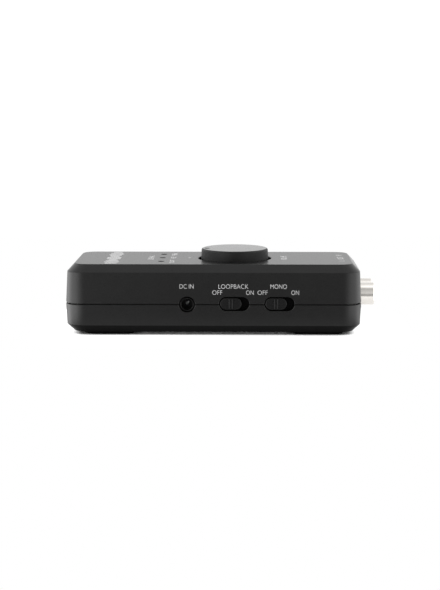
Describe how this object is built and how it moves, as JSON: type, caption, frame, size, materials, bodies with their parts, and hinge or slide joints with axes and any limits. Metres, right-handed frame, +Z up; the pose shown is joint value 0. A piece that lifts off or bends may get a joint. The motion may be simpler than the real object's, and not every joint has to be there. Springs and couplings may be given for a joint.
{
  "type": "audio interface",
  "caption": "Palm-sized desktop audio interface: chamfered plastic case, sunken volume knob, slide switches, and phono, power, headset and device sockets.",
  "frame": {"origin": "under the middle of the whole object, on the surface that its foot pads stand on", "axes": "+X along the case towards the phono sockets, -Y towards the long wall with the power socket and slide switches, +Z up out of the volume knob"},
  "size_m": [0.1112, 0.044, 0.0292],
  "materials": {
    "case": "fine matte moulding texture, near black",
    "knob": "satin, near black",
    "slider": "matte, near black",
    "socket_plastic": "semi-gloss black",
    "rubber": "matte black",
    "nickel": "bright, slightly warm plating",
    "gold": "gold-plated spring contact",
    "steel": "plain plated steel",
    "white_plastic": "white insulator",
    "red_plastic": "red insulator",
    "circuit_board": "green solder mask",
    "chip": "black moulding compound",
    "can": "satin metal can",
    "lens": "smoked clear rod, unlit"
  },
  "bodies": {
    "case": {"top_shell": "case", "bottom_shell": "case", "foot_pad_left": "rubber", "foot_pad_right": "rubber", "volume_pot_bushing": "steel", "volume_pot_body": "steel", "loopback_switch_body": "steel", "mono_switch_body": "steel", "dc_socket_body": "socket_plastic", "dc_socket_pin": "nickel", "dc_socket_contact": "nickel", "phono_block": "socket_plastic", "phono_barrel_front": "nickel", "phono_insulator_front": "white_plastic", "phono_contact_front": "gold", "phono_barrel_rear": "nickel", "phono_insulator_rear": "red_plastic", "phono_contact_rear": "gold", "device_port_housing": "socket_plastic", "device_port_shield": "nickel", "device_port_core": "socket_plastic", "headset_socket_body": "socket_plastic", "headset_socket_ferrule": "nickel", "headset_socket_contact": "gold", "main_board": "circuit_board", "controller_chip": "chip", "codec_chip": "chip", "headphone_amp_chip": "chip", "clock_crystal": "can", "power_inductor": "chip", "input_capacitor_front": "can", "input_capacitor_rear": "can", "power_capacitor_small": "can", "power_capacitor_large": "can", "level_led_front": "white_plastic", "level_light_pipe_front": "lens", "level_led_middle": "white_plastic", "level_light_pipe_middle": "lens", "level_led_rear": "white_plastic", "level_light_pipe_rear": "lens", "case_screw_1": "steel", "case_screw_2": "steel", "case_screw_3": "steel", "case_screw_4": "steel", "board_screw_1": "steel", "board_screw_2": "steel", "board_screw_3": "steel", "board_screw_4": "steel"},
    "volume_control": {"volume_knob": "knob", "volume_pot_shaft": "steel"},
    "loopback_switch": {"loopback_slider": "slider", "loopback_switch_lever": "socket_plastic"},
    "mono_switch": {"mono_slider": "slider", "mono_switch_lever": "socket_plastic"}
  },
  "joints": [
    {"name": "volume_turn", "type": "hinge", "parent": "case", "child": "volume_control", "pos_m": [0.00485, 0, 0.0225], "axis": [0, 0, -1], "range_deg": [-143, 157]},
    {"name": "loopback_slide", "type": "slide", "parent": "case", "child": "loopback_switch", "axis": [1, 0, 0], "range_m": [0, 0.0024]},
    {"name": "mono_slide", "type": "slide", "parent": "case", "child": "mono_switch", "axis": [1, 0, 0], "range_m": [0, 0.0024]}
  ]
}
